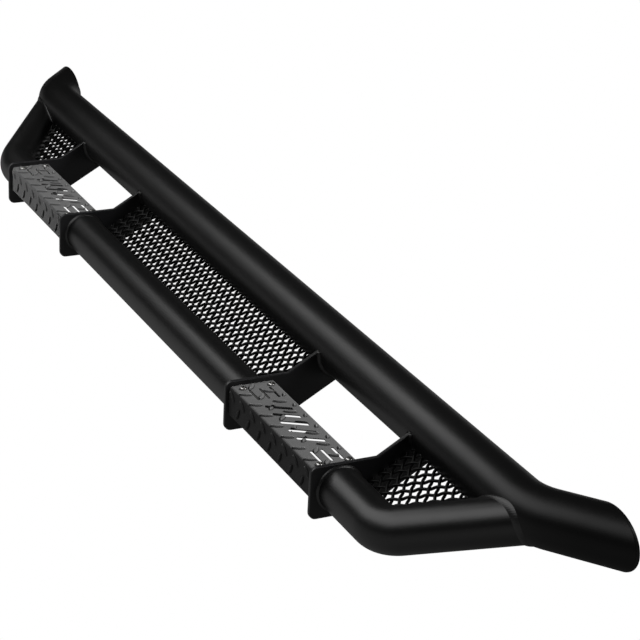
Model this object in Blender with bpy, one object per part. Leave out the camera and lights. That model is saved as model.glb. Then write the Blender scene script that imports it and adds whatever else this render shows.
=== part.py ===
"""Running board: a main tube with bent-in ends, a lower outer tube welded to it, four side plates,
two bent treadplate steps, three wire mesh panels and three brackets that bolt up to a vehicle.

Metres. +X runs along the board towards its shallow-bend end, +Y points inboard at the vehicle and
+Z is up. The origin is the middle of the centre bracket's underside.
"""

import math

import bmesh
import bpy
import numpy as np
from mathutils import Matrix, Vector

GAP = 0.0003

MAIN_RADIUS = 0.0381
MAIN_WALL = 0.003
MAIN_AXIS = (-0.032, 0.055)
MAIN_SEGMENTS = 40

OUTER_RADIUS = 0.03175
OUTER_WALL = 0.0025
OUTER_AXIS = (MAIN_AXIS[0] - 0.1384, MAIN_AXIS[1] - 0.0585)
OUTER_SEGMENTS = 36
LEG_REACH = 0.20
CLEAR_OF_BOARD = 1.2

# Each bend: where it starts along X, its radius, its angle and how far it tilts up from inboard.
MAIN_BENDS = {
    "near": {"start": 0.8506, "radius": 0.130, "angle": 27.6, "tilt": 13.3},
    "far": {"start": -0.8742, "radius": 0.130, "angle": 37.6, "tilt": -1.7},
}
# How far inboard of its axis each end of the main tube is trimmed, and the yaw and lean of that
# trim plane from square to +Y.
MAIN_CUTS = {"near": (0.0509, 7.7, -1.1), "far": (0.0547, -2.4, 2.6)}
OUTER_BENDS = {
    "near": {"start": 0.7405, "radius": 0.0536, "angle": 50.7, "tilt": 21.5},
    "far": {"start": -0.7054, "radius": 0.0905, "angle": 38.5, "tilt": 18.2},
}
BEND_RINGS = 6
CAP_THICKNESS = 0.003

PLATE_THICKNESS = 0.0062
PLATE_INNER_X = 0.3565
PLATE_OUTER_X = 0.6383
COLLAR_OUTBOARD = -0.0428
COLLAR_BOTTOM = -0.0390
COLLAR_TOP = 0.0364
COLLAR_CORNER = 0.010
ARM_TOP = (0.0050, 0.587)
ARM_BOTTOM = (-0.0593, 0.573)

PAD_SHEET = 0.0016
PAD_TOP = 0.0292
PAD_FRONT = -0.0370
PAD_BACK = 0.0320
PAD_SKIRT = -0.0127
PAD_LIP = 0.010
PAD_BEND = 0.0045
PAD_END_GAP = 0.0008
SLOT_LENGTH = 0.036
SLOT_WIDTH = 0.0042
SLOT_OFFSET = 0.101
SLOT_ROWS = (-0.0155, 0.0, 0.0155)
VENT_COUNT = 5
VENT_PITCH = 0.026
VENT_LENGTH = 0.034
VENT_WIDTH = 0.009
VENT_SLANT = 0.010
SCREW_OFFSET = (0.1244, 0.0215)

TAB_SHEET = 0.003
TAB_REACH = 0.019
TAB_HALF_WIDTH = 0.0265
TAB_DROP = 0.024

SCREW_RADIUS = 0.003
SCREW_HEAD_RADIUS = 0.0052
SCREW_HEAD_HEIGHT = 0.0028
SCREW_LENGTH = 0.016
SOCKET_RADIUS = 0.002
SOCKET_DEPTH = 0.0016
NUT_RADIUS = 0.0058
NUT_HEIGHT = 0.005

MESH_SLOPE = 30.0
MESH_THICKNESS = 0.0032
MESH_PITCH = 0.0254
MESH_BAR = 0.0034
MESH_RIM = 0.0035
SMALLEST_OPENING = 0.00004

BRACKET_X = {"rear": -0.270, "centre": 0.0, "front": 0.270}
BRACKET_HALF_LENGTH = 0.040
BRACKET_HALF_DEPTH = 0.028
BRACKET_SHEET = 0.005
BRACKET_LIP = 0.016
BRACKET_BOLT_X = 0.018
BRACKET_BOLT_Y = 0.007
BOLT_HOLE_RADIUS = 0.0055
WELD_NUT_RADIUS = 0.0092
WELD_NUT_HEIGHT = 0.008

FINISHES = {
    "tube_coat": ((0.030, 0.030, 0.030), 0.42, 0.15),
    "plate_coat": ((0.026, 0.026, 0.029), 0.48, 0.15),
    "tread_coat": ((0.130, 0.130, 0.130), 0.50, 0.35),
    "mesh_coat": ((0.035, 0.035, 0.035), 0.50, 0.15),
    "fastener_steel": ((0.60, 0.60, 0.58), 0.30, 1.0),
    "bracket_coat": ((0.032, 0.032, 0.032), 0.55, 0.15),
}


def clear_scene():
    for obj in list(bpy.data.objects):
        bpy.data.objects.remove(obj, do_unlink=True)


def finish(name):
    """The Principled material of this name, made on first use."""
    material = bpy.data.materials.get(name)
    if material is None:
        colour, roughness, metallic = FINISHES[name]
        material = bpy.data.materials.new(name)
        material.use_nodes = True
        shader = material.node_tree.nodes["Principled BSDF"]
        shader.inputs["Base Color"].default_value = (*colour, 1.0)
        shader.inputs["Roughness"].default_value = roughness
        shader.inputs["Metallic"].default_value = metallic
        material.diffuse_color = (*colour, 1.0)
    return material


def add_mesh(name, points, faces, slot=None, smooth=False):
    """A new object from points and faces, with its faces turned outwards."""
    mesh = bpy.data.meshes.new(name)
    mesh.from_pydata([tuple(point) for point in points], [], faces)
    shape = bmesh.new()
    shape.from_mesh(mesh)
    bmesh.ops.recalc_face_normals(shape, faces=shape.faces)
    shape.to_mesh(mesh)
    shape.free()
    if smooth:
        mesh.shade_smooth()
        mesh.set_sharp_from_angle(angle=math.radians(35))
    obj = bpy.data.objects.new(name, mesh)
    bpy.context.scene.collection.objects.link(obj)
    if slot:
        mesh.materials.append(finish(slot))
    return obj


def as_cutter(obj):
    obj.hide_render = True
    obj.display_type = "WIRE"
    return obj


def cut(obj, cutter):
    modifier = obj.modifiers.new("cut_" + cutter.name, "BOOLEAN")
    modifier.operation = "DIFFERENCE"
    modifier.solver = "EXACT"
    modifier.object = cutter


def prism_shape(outline, low, high, place):
    """Points and faces of an outline pushed from low to high. place turns (a, b, along) to xyz."""
    count = len(outline)
    points = [place(a, b, along) for along in (low, high) for a, b in outline]
    faces = [tuple(range(count)), tuple(range(2 * count - 1, count - 1, -1))]
    for i in range(count):
        j = (i + 1) % count
        faces.append((i, j, count + j, count + i))
    return points, faces


def along_x(y, z, x):
    return (x, y, z)


def along_z(x, y, z):
    return (x, y, z)


def many_prisms(outlines, low, high, place):
    """Several separate prisms as one set of points and faces."""
    points, faces = [], []
    for outline in outlines:
        new_points, new_faces = prism_shape(outline, low, high, place)
        faces += [tuple(i + len(points) for i in face) for face in new_faces]
        points += new_points
    return points, faces


def arc(centre, radius, start, end, steps):
    """Points on a circle from start to end, in degrees."""
    angles = np.radians(np.linspace(start, end, steps + 1))
    return [(centre[0] + radius * math.cos(a), centre[1] + radius * math.sin(a)) for a in angles]


def circle(centre, radius, count, turn=0.0):
    return arc(centre, radius, turn, turn + 360.0 * (count - 1) / count, count - 1)


# Tubes


def bend_frames(axis, bend, rings):
    """Ring centres and turns along a bend, from its start to its end."""
    side = math.copysign(1.0, bend["start"])
    tilt = math.radians(bend["tilt"])
    inward = Vector((0, math.cos(tilt), math.sin(tilt)))
    along = Vector((side, 0, 0))
    hinge = along.cross(inward)
    start = Vector((bend["start"], *axis))
    frames = []
    for step in range(rings + 1):
        angle = math.radians(bend["angle"]) * step / rings
        sweep = along * math.sin(angle) + inward * (1 - math.cos(angle))
        frames.append((start + sweep * bend["radius"], Matrix.Rotation(angle, 3, hinge)))
    return frames


def ring(frame, radius, count):
    centre, turn = frame
    angles = [2 * math.pi * i / count for i in range(count)]
    return [centre + turn @ Vector((0, radius * math.cos(a), radius * math.sin(a))) for a in angles]


def slide_to_plane(points, direction, on_plane, normal):
    """Each point moved along direction until it lies on the plane."""
    rate = direction.dot(normal)
    return [point + direction * ((on_plane - point).dot(normal) / rate) for point in points]


def tube_shape(outer_rings, inner_rings):
    """Points and faces of a pipe with open ends, from its outer rings and its inner rings."""
    count = len(outer_rings[0])
    last = len(outer_rings) - 1
    points = [point for rings in (outer_rings, inner_rings) for row in rings for point in row]
    inner = count * len(outer_rings)
    faces = []
    for i in range(count):
        j = (i + 1) % count
        for row in range(last):
            low, high = row * count, (row + 1) * count
            faces.append((low + i, high + i, high + j, low + j))
            faces.append((inner + low + j, inner + high + j, inner + high + i, inner + low + i))
        top = last * count
        faces.append((i, j, inner + j, inner + i))
        faces.append((top + j, top + i, inner + top + i, inner + top + j))
    return points, faces


def solid_shape(rings):
    """Points and faces of a solid bar through these rings."""
    count = len(rings[0])
    points = [point for row in rings for point in row]
    faces = [tuple(range(count)), tuple(range(len(points) - 1, len(points) - count - 1, -1))]
    for row in range(len(rings) - 1):
        for i in range(count):
            j = (i + 1) % count
            low, high = row * count, (row + 1) * count
            faces.append((low + i, high + i, high + j, low + j))
    return points, faces


def end_direction(bend, frame):
    return frame[1] @ Vector((math.copysign(1.0, bend["start"]), 0, 0))


def trim_plane(end):
    """A point on the plane that trims this end of the main tube, and the plane's normal."""
    bend = MAIN_BENDS[end]
    last = bend_frames(MAIN_AXIS, bend, BEND_RINGS)[-1]
    heading = end_direction(bend, last)
    reach, yaw, lean = MAIN_CUTS[end]
    travel = (MAIN_AXIS[0] + reach - last[0].y) / heading.y
    yaw, lean = math.radians(yaw), math.radians(lean)
    side = math.copysign(1.0, bend["start"])
    normal = Vector((side * math.sin(yaw), math.cos(yaw) * math.cos(lean), math.sin(lean)))
    return last[0] + heading * travel, normal.normalized(), heading, last


def trimmed_ring(end, radius, beyond):
    """The main tube's ring at its trimmed end, moved out past the trim plane by beyond."""
    on_plane, normal, heading, last = trim_plane(end)
    points = ring(last, radius, MAIN_SEGMENTS)
    return slide_to_plane(points, heading, on_plane + normal * beyond, normal)


def main_rings(radius, beyond=0.0):
    far = [ring(f, radius, MAIN_SEGMENTS) for f in bend_frames(MAIN_AXIS, MAIN_BENDS["far"], BEND_RINGS)]
    near = [ring(f, radius, MAIN_SEGMENTS) for f in bend_frames(MAIN_AXIS, MAIN_BENDS["near"], BEND_RINGS)]
    ends = trimmed_ring("far", radius, beyond), trimmed_ring("near", radius, beyond)
    return [ends[0], *far[::-1], *near, ends[1]]


def make_main_tube():
    shape = tube_shape(main_rings(MAIN_RADIUS), main_rings(MAIN_RADIUS - MAIN_WALL))
    add_mesh("main_tube", *shape, "tube_coat", smooth=True)


def make_end_caps():
    for end in MAIN_BENDS:
        inner = trimmed_ring(end, MAIN_RADIUS, GAP)
        outer = trimmed_ring(end, MAIN_RADIUS, GAP + CAP_THICKNESS)
        add_mesh(end + "_end_cap", *solid_shape([inner, outer]), "plate_coat", smooth=True)


def main_tube_cutter(name):
    return as_cutter(add_mesh(name, *solid_shape(main_rings(MAIN_RADIUS + GAP, 0.02))))


def outer_end_rings(end, radius, start):
    """Rings from the side plate, round the bend and on into the main tube."""
    bend = OUTER_BENDS[end]
    frames = bend_frames(OUTER_AXIS, bend, BEND_RINGS)
    level = frames[0][1]
    reach = end_direction(bend, frames[-1]) * LEG_REACH
    frames = [(Vector((start, *OUTER_AXIS)), level), *frames, (frames[-1][0] + reach, frames[-1][1])]
    return [ring(frame, radius, OUTER_SEGMENTS) for frame in frames]


def make_outer_ends():
    for end, bend in OUTER_BENDS.items():
        side = math.copysign(1.0, bend["start"])
        start = side * (PLATE_OUTER_X + PLATE_THICKNESS / 2 + GAP)
        shape = tube_shape(*(outer_end_rings(end, OUTER_RADIUS - wall, start) for wall in (0, OUTER_WALL)))
        tube = add_mesh("outer_tube_" + end, *shape, "tube_coat", smooth=True)
        cut(tube, cope_cutter(end))


def cope_cutter(end):
    """The main tube's outside and all the room inboard of its middle, which the leg mustn't enter."""
    cutter = main_tube_cutter("cope_" + end)
    far = CLEAR_OF_BOARD
    room = [(MAIN_AXIS[0], -far), (far, -far), (far, far), (MAIN_AXIS[0], far)]
    half = as_cutter(add_mesh("inboard_" + end, *prism_shape(room, -far, far, along_x)))
    union = cutter.modifiers.new("join", "BOOLEAN")
    union.operation = "UNION"
    union.solver = "EXACT"
    union.object = half
    return cutter


def make_outer_centre():
    reach = PLATE_INNER_X - PLATE_THICKNESS / 2 - GAP
    frames = [(Vector((x, *OUTER_AXIS)), Matrix.Identity(3)) for x in (-reach, reach)]
    radii = (OUTER_RADIUS, OUTER_RADIUS - OUTER_WALL)
    shape = tube_shape(*([ring(frame, radius, OUTER_SEGMENTS) for frame in frames] for radius in radii))
    add_mesh("outer_tube_centre", *shape, "tube_coat", smooth=True)


# Side plates


def from_outer(y, z):
    return (OUTER_AXIS[0] + y, OUTER_AXIS[1] + z)


def rounded(corner, radius, start):
    """A quarter circle for a square corner. start is the angle where the quarter begins."""
    middle = math.radians(start - 45)
    reach = radius * math.sqrt(2)
    centre = (corner[0] - reach * math.cos(middle), corner[1] - reach * math.sin(middle))
    return arc(centre, radius, start, start - 90, 5)


def angle_on_main(line):
    """Angle at which a sloping plate edge z = line[0] + line[1] * y meets the main tube."""
    radius = MAIN_RADIUS + GAP
    drop, slope = line
    to_axis = (MAIN_AXIS[0] - OUTER_AXIS[0], MAIN_AXIS[1] - OUTER_AXIS[1])
    height = (drop + slope * to_axis[0] - to_axis[1]) * math.cos(math.atan(slope))
    return 180.0 - math.degrees(math.asin(height / radius)) + math.degrees(math.atan(slope))


def plate_outline():
    """Rounded square collar and the sloping arm that runs up to the main tube."""
    kink = (COLLAR_TOP - ARM_TOP[0]) / ARM_TOP[1]
    heel = (COLLAR_BOTTOM - ARM_BOTTOM[0]) / ARM_BOTTOM[1]
    outline = rounded((COLLAR_OUTBOARD, COLLAR_TOP), COLLAR_CORNER, 180)
    outline.append((kink, COLLAR_TOP))
    outline = [from_outer(*point) for point in outline]
    outline += arc(MAIN_AXIS, MAIN_RADIUS + GAP, angle_on_main(ARM_TOP), angle_on_main(ARM_BOTTOM), 12)
    outline.append(from_outer(heel, COLLAR_BOTTOM))
    lower = rounded((COLLAR_OUTBOARD, COLLAR_BOTTOM), COLLAR_CORNER, 270)
    return outline + [from_outer(*point) for point in lower]


def make_side_plates():
    outline = plate_outline()
    half = PLATE_THICKNESS / 2
    places = {"far_outer": -PLATE_OUTER_X, "far_inner": -PLATE_INNER_X}
    places |= {"near_inner": PLATE_INNER_X, "near_outer": PLATE_OUTER_X}
    for name, x in places.items():
        plate = add_mesh("side_plate_" + name, *prism_shape(outline, -half, half, along_x), "plate_coat")
        plate.location.x = x


# Steps


def pad_section():
    """Bent sheet seen end on: front skirt, flat top and a short lip at the back."""
    inner_bend = PAD_BEND - PAD_SHEET
    front, back = PAD_FRONT + PAD_BEND, PAD_BACK - PAD_BEND
    height = PAD_TOP - PAD_BEND
    section = [(PAD_FRONT, PAD_SKIRT)]
    section += arc((front, height), PAD_BEND, 180, 90, 4)
    section += arc((back, height), PAD_BEND, 90, 0, 4)
    section.append((PAD_BACK, PAD_TOP - PAD_LIP))
    section.append((PAD_BACK - PAD_SHEET, PAD_TOP - PAD_LIP))
    section += arc((back, height), inner_bend, 0, 90, 3)
    section += arc((front, height), inner_bend, 90, 180, 3)
    section.append((PAD_FRONT + PAD_SHEET, PAD_SKIRT))
    return [from_outer(*point) for point in section]


def long_slot(x, y):
    reach = (SLOT_LENGTH - SLOT_WIDTH) / 2
    half = SLOT_WIDTH / 2
    return arc((x - reach, y), half, 90, 270, 4) + arc((x + reach, y), half, -90, 90, 4)


def slanted_vent(x, y):
    """A leaning oblong with cut corners, across the board."""
    half, reach = VENT_WIDTH / 2, VENT_LENGTH / 2
    nib = half * 0.6
    side = [(-half, -reach + nib), (-half + nib, -reach), (half, -reach)]
    side += [(half, reach - nib), (half - nib, reach), (-half, reach)]
    return [(x + a + VENT_SLANT * b / reach, y + b) for a, b in side]


def pad_openings():
    y = OUTER_AXIS[0]
    outlines = [long_slot(end * SLOT_OFFSET, y + row) for end in (-1, 1) for row in SLOT_ROWS]
    first = -VENT_PITCH * (VENT_COUNT - 1) / 2
    outlines += [slanted_vent(first + i * VENT_PITCH, y) for i in range(VENT_COUNT)]
    return outlines + [circle(spot, SCREW_RADIUS + GAP, 12) for spot in screw_spots()]


def screw_spots():
    x, y = SCREW_OFFSET
    return [(sx * x, OUTER_AXIS[0] + sy * y) for sx in (-1, 1) for sy in (-1, 1)]


def pad_centre():
    return (PLATE_INNER_X + PLATE_OUTER_X) / 2


def make_steps():
    half = (PLATE_OUTER_X - PLATE_INNER_X - PLATE_THICKNESS) / 2 - PAD_END_GAP
    top = OUTER_AXIS[1] + PAD_TOP
    for end, side in (("far", -1), ("near", 1)):
        step = add_mesh("step_" + end, *prism_shape(pad_section(), -half, half, along_x), "tread_coat")
        step.location.x = side * pad_centre()
        openings = many_prisms(pad_openings(), top - 2 * PAD_SHEET, top + PAD_SHEET, along_z)
        cutter = as_cutter(add_mesh("openings_" + end, *openings))
        cutter.location.x = step.location.x
        cut(step, cutter)
        make_tabs(end, side)
        make_screws(end, side)


def make_tabs(end, side):
    """Angle brackets on the side plates, under each end of a step."""
    top = PAD_TOP - PAD_SHEET - GAP
    half = pad_centre() - PLATE_INNER_X - PLATE_THICKNESS / 2 - GAP
    inner = TAB_REACH
    section = [(half, top), (half, top - TAB_DROP), (half - TAB_SHEET, top - TAB_DROP)]
    section += [(half - TAB_SHEET, top - TAB_SHEET), (half - inner, top - TAB_SHEET), (half - inner, top)]
    for name, way in (("inner", -side), ("outer", side)):
        low, high = OUTER_AXIS[0] - TAB_HALF_WIDTH, OUTER_AXIS[0] + TAB_HALF_WIDTH
        turned = [(way * x, OUTER_AXIS[1] + z) for x, z in section]
        shape = prism_shape(turned, low, high, lambda x, z, y: (x, y, z))
        tab = add_mesh(f"step_tab_{end}_{name}", *shape, "bracket_coat")
        tab.location.x = side * pad_centre()
        spots = [circle(spot, SCREW_RADIUS + GAP, 12) for spot in screw_spots() if spot[0] * way > 0]
        height = OUTER_AXIS[1] + top
        holes = many_prisms(spots, height - 2 * TAB_SHEET, height + TAB_SHEET, along_z)
        cutter = as_cutter(add_mesh(f"tab_holes_{end}_{name}", *holes))
        cutter.location.x = tab.location.x
        cut(tab, cutter)


def turned_shape(profile, count):
    """Points and faces of a solid of revolution about Z. The profile is (radius, height), axis to axis."""
    body = [p for p in profile if p[0] > 0]
    rings = [circle((0, 0), r, count) for r, _ in body]
    points = [(x, y, h) for (_, h), row in zip(body, rings) for x, y in row]
    faces = [tuple(range(count)), tuple(range(len(points) - 1, len(points) - count - 1, -1))]
    for row in range(len(body) - 1):
        for i in range(count):
            j = (i + 1) % count
            low, high = row * count, (row + 1) * count
            faces.append((low + i, low + j, high + j, high + i))
    return points, faces


def screw_shape():
    """Button head screw with a plain round socket, its head's underside at height 0."""
    shoulder = SCREW_HEAD_RADIUS * 0.70
    profile = [(SCREW_RADIUS, -SCREW_LENGTH), (SCREW_RADIUS, 0), (SCREW_HEAD_RADIUS, 0)]
    profile += [(SCREW_HEAD_RADIUS, SCREW_HEAD_HEIGHT * 0.35), (shoulder, SCREW_HEAD_HEIGHT)]
    profile += [(SOCKET_RADIUS, SCREW_HEAD_HEIGHT), (SOCKET_RADIUS, SCREW_HEAD_HEIGHT - SOCKET_DEPTH)]
    return turned_shape(profile, 12)


def nut_shape(radius, bore, height):
    """Hexagon nut with a round bore, standing on height 0."""
    outer = circle((0, 0), radius, 6)
    sides = [outer[i // 2] if i % 2 == 0 else midpoint(outer[i // 2], outer[(i // 2 + 1) % 6]) for i in range(12)]
    inner = circle((0, 0), bore, 12)
    rows = [[(x, y, z) for x, y in row] for row, z in ((sides, 0), (sides, height), (inner, height), (inner, 0))]
    points = [point for row in rows for point in row]
    faces = []
    for row in range(4):
        for i in range(12):
            j = (i + 1) % 12
            low, high = row * 12, ((row + 1) % 4) * 12
            faces.append((low + i, low + j, high + j, high + i))
    return points, faces


def midpoint(a, b):
    return ((a[0] + b[0]) / 2, (a[1] + b[1]) / 2)


def make_screws(end, side):
    head = OUTER_AXIS[1] + PAD_TOP + GAP
    under = OUTER_AXIS[1] + PAD_TOP - PAD_SHEET - 2 * GAP - TAB_SHEET - NUT_HEIGHT
    for number, (x, y) in enumerate(screw_spots(), 1):
        screw = add_mesh(f"step_screw_{end}_{number}", *screw_shape(), "fastener_steel", smooth=True)
        screw.location = (side * pad_centre() + x, y, head)
        shape = nut_shape(NUT_RADIUS, SCREW_RADIUS + GAP, NUT_HEIGHT)
        nut = add_mesh(f"step_nut_{end}_{number}", *shape, "fastener_steel")
        nut.location = (side * pad_centre() + x, y, under)


# Mesh panels. Positions on the sloping mesh plane are (x, s): s runs up the slope from the main
# tube's axis, so it is negative across the panels.


def on_slope(x, s, lift):
    slope = math.radians(MESH_SLOPE)
    y = MAIN_AXIS[0] + s * math.cos(slope) - lift * math.sin(slope)
    z = MAIN_AXIS[1] + s * math.sin(slope) + lift * math.cos(slope)
    return (x, y, z)


def slope_position(point):
    """(x, s, lift) of a point in space."""
    slope = math.radians(MESH_SLOPE)
    y, z = point[1] - MAIN_AXIS[0], point[2] - MAIN_AXIS[1]
    return (point[0], y * math.cos(slope) + z * math.sin(slope), z * math.cos(slope) - y * math.sin(slope))


def inboard_crossing(frame, radius):
    """Where the inboard side of a ring of this radius crosses the mesh plane, as (x, s)."""
    centre, turn = frame
    level = slope_position(centre)[2]
    parts = [slope_position(turn @ Vector(axis) + Vector((0, *MAIN_AXIS)))[2] for axis in ((0, 1, 0), (0, 0, 1))]
    size = math.hypot(*parts)
    if radius * size <= abs(level):
        return None
    lean = math.atan2(parts[1], parts[0])
    swing = math.acos(-level / (radius * size))
    found = []
    for angle in (lean + swing, lean - swing):
        spot = centre + turn @ Vector((0, radius * math.cos(angle), radius * math.sin(angle)))
        x, s, _ = slope_position(spot)
        found.append((s - abs(x), x, s))
    return max(found)[1:]


def end_panel_outline(end):
    """Outline of the near-triangular panel between plate, outer tube, its leg and the main tube."""
    bend = OUTER_BENDS[end]
    side = math.copysign(1.0, bend["start"])
    radius = OUTER_RADIUS + MESH_THICKNESS / 2
    frames = bend_frames(OUTER_AXIS, bend, BEND_RINGS)
    heading = end_direction(bend, frames[-1])
    frames += [(frames[-1][0] + heading * LEG_REACH * i / 40, frames[-1][1]) for i in range(1, 41)]
    edge = [inboard_crossing(frame, radius) for frame in frames]
    edge = [spot for spot in edge if spot]
    upper = panel_limits()[1]
    below = [spot for spot in edge if spot[1] < upper]
    over = edge[len(below)]
    share = (upper - below[-1][1]) / (over[1] - below[-1][1])
    tip = (below[-1][0] + share * (over[0] - below[-1][0]), upper)
    bend_part = below[: BEND_RINGS + 1]
    start = side * (PLATE_OUTER_X + PLATE_THICKNESS / 2 + GAP)
    outline = [(start, panel_limits()[0]), *bend_part, tip, (start, upper)]
    return outline if side > 0 else outline[::-1]


def panel_limits():
    """The s range between the outer tube and the main tube."""
    outer = slope_position((0, *OUTER_AXIS))
    lift = abs(outer[2]) - MESH_THICKNESS / 2
    low = outer[1] + math.sqrt((OUTER_RADIUS + GAP) ** 2 - lift**2)
    return low, -(MAIN_RADIUS + GAP)


def centre_panel_outline():
    low, high = panel_limits()
    reach = PLATE_INNER_X - PLATE_THICKNESS / 2 - GAP
    return [(-reach, low), (reach, low), (reach, high), (-reach, high)]


def clip(polygon, outline, inset):
    """The part of a polygon at least inset inside a convex outline whose corners run anticlockwise."""
    for i, start in enumerate(outline):
        end = outline[(i + 1) % len(outline)]
        run = (end[0] - start[0], end[1] - start[1])
        size = math.hypot(*run)
        depth = [(run[0] * (y - start[1]) - run[1] * (x - start[0])) / size - inset for x, y in polygon]
        kept = []
        for j, point in enumerate(polygon):
            before, d, d_before = polygon[j - 1], depth[j], depth[j - 1]
            if (d >= 0) != (d_before >= 0):
                share = d_before / (d_before - d)
                kept.append(tuple(b + share * (p - b) for b, p in zip(before, point)))
            if d >= 0:
                kept.append(point)
        polygon = kept
        if len(polygon) < 3:
            return []
    return polygon


def area(polygon):
    total = sum(a[0] * b[1] - b[0] * a[1] for a, b in zip(polygon, polygon[1:] + polygon[:1]))
    return abs(total) / 2


def merged(polygon):
    """The polygon without corners that nearly repeat the one before."""
    return [p for i, p in enumerate(polygon) if math.dist(p, polygon[i - 1]) > GAP]


def mesh_openings(outline):
    """Square openings on their points, clipped to leave a rim inside the outline."""
    half = (MESH_PITCH - MESH_BAR) / math.sqrt(2)
    step = MESH_PITCH / math.sqrt(2)
    low_x, high_x = min(x for x, _ in outline), max(x for x, _ in outline)
    low_s, high_s = min(s for _, s in outline), max(s for _, s in outline)
    found = []
    for i in range(math.floor(low_x / step), math.ceil(high_x / step) + 1):
        for j in range(math.floor(low_s / step), math.ceil(high_s / step) + 1):
            if (i + j) % 2:
                continue
            x, s = i * step, j * step
            square = [(x - half, s), (x, s - half), (x + half, s), (x, s + half)]
            opening = clip(square, outline, MESH_RIM)
            if len(opening) >= 3 and area(opening) > SMALLEST_OPENING:
                found.append(merged(opening))
    return found


def make_mesh_panels():
    outlines = {"centre": centre_panel_outline()}
    outlines |= {end: end_panel_outline(end) for end in OUTER_BENDS}
    half = MESH_THICKNESS / 2
    for name, outline in outlines.items():
        panel = add_mesh("mesh_panel_" + name, *prism_shape(outline, -half, half, on_slope), "mesh_coat")
        openings = many_prisms(mesh_openings(outline), -2 * half, 2 * half, on_slope)
        cut(panel, as_cutter(add_mesh("mesh_openings_" + name, *openings)))


# Brackets


def bracket_outline():
    """End view of a bracket: a flat base and ears shaped to the underside of the main tube."""
    radius = MAIN_RADIUS + GAP
    start = -BRACKET_HALF_DEPTH
    steepest = -math.degrees(math.acos((start - MAIN_AXIS[0]) / radius))
    outline = [(start, 0.0), (BRACKET_HALF_DEPTH, 0.0), (BRACKET_HALF_DEPTH, BRACKET_LIP)]
    return outline + arc(MAIN_AXIS, radius, -25, steepest, 8)


def make_brackets():
    long = BRACKET_HALF_LENGTH
    inside = long - BRACKET_SHEET
    wide, low = 4 * BRACKET_HALF_DEPTH, BRACKET_SHEET
    channel = [(-wide, low), (wide, low), (wide, low + wide), (-wide, low + wide)]
    spots = [(side * BRACKET_BOLT_X, BRACKET_BOLT_Y) for side in (-1, 1)]
    for name, x in BRACKET_X.items():
        bracket = add_mesh("mount_" + name, *prism_shape(bracket_outline(), -long, long, along_x), "bracket_coat")
        room = add_mesh("channel_" + name, *prism_shape(channel, -inside, inside, along_x))
        round_holes = [circle(spot, BOLT_HOLE_RADIUS, 16) for spot in spots]
        holes = add_mesh("bolt_holes_" + name, *many_prisms(round_holes, -BRACKET_SHEET, 2 * BRACKET_SHEET, along_z))
        for cutter in (room, holes):
            cut(bracket, as_cutter(cutter))
            cutter.location.x = x
        bracket.location.x = x
        for number, spot in enumerate(spots, 1):
            shape = nut_shape(WELD_NUT_RADIUS, BOLT_HOLE_RADIUS - GAP, WELD_NUT_HEIGHT)
            nut = add_mesh(f"weld_nut_{name}_{number}", *shape, "fastener_steel")
            nut.location = (x + spot[0], spot[1], BRACKET_SHEET + GAP)


def main():
    clear_scene()
    make_main_tube()
    make_end_caps()
    make_outer_centre()
    make_outer_ends()
    make_side_plates()
    make_steps()
    make_mesh_panels()
    make_brackets()


main()
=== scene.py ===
"""Looks for the running board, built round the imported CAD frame. Metres, in the row's frame."""

import math

import bmesh
import bpy
import numpy as np
from mathutils import Matrix, Vector


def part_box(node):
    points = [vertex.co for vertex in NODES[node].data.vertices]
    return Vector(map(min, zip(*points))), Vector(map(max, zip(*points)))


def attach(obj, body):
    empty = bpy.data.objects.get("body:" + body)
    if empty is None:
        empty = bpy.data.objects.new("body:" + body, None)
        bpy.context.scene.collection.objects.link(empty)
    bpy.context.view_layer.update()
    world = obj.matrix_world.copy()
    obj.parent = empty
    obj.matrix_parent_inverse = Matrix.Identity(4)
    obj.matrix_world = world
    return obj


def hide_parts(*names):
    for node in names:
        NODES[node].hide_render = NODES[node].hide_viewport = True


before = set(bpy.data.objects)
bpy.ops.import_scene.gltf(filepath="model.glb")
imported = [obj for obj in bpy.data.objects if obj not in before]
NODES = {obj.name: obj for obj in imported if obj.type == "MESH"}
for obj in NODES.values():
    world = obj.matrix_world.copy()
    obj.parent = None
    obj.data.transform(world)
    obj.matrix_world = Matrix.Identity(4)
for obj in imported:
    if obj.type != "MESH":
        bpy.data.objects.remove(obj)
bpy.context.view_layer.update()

# Dimensions of the CAD solids. An axis is given as (y, z).
MAIN_RADIUS = 0.0381
MAIN_WALL = 0.003
MAIN_AXIS = (-0.032, 0.055)
OUTER_RADIUS = 0.03175
OUTER_WALL = 0.0025
OUTER_AXIS = (MAIN_AXIS[0] - 0.1384, MAIN_AXIS[1] - 0.0585)
# Each bend: where it starts, its radius, its angle and its tilt from level, in degrees.
MAIN_BENDS = {
    "near": {"start": 0.8506, "radius": 0.130, "angle": 27.6, "tilt": 13.3},
    "far": {"start": -0.8742, "radius": 0.130, "angle": 37.6, "tilt": -1.7},
}
# Each cut of the main tube's ends: its reach inboard of the axis, its yaw and its lean, in degrees.
MAIN_CUTS = {"near": (0.0509, 7.7, -1.1), "far": (0.0547, -2.4, 2.6)}
OUTER_BENDS = {
    "near": {"start": 0.7405, "radius": 0.0536, "angle": 50.7, "tilt": 21.5},
    "far": {"start": -0.7054, "radius": 0.0905, "angle": 38.5, "tilt": 18.2},
}
PLATE_THICKNESS = 0.0062
PLATE_X = {
    "far_outer": -0.6383,
    "far_inner": -0.3565,
    "near_inner": 0.3565,
    "near_outer": 0.6383,
}
BRACKET_PLACES = ("rear", "centre", "front")
PAD_CENTRE = 0.4974
# Places of a step's screws from its middle.
SCREW_SPOTS = ((-0.1244, -0.0215), (-0.1244, 0.0215), (0.1244, -0.0215), (0.1244, 0.0215))
PAD_TOP = 0.0292
PAD_SHEET = 0.0016
MESH_SLOPE = math.radians(30.0)
TAU = 2 * math.pi

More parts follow.
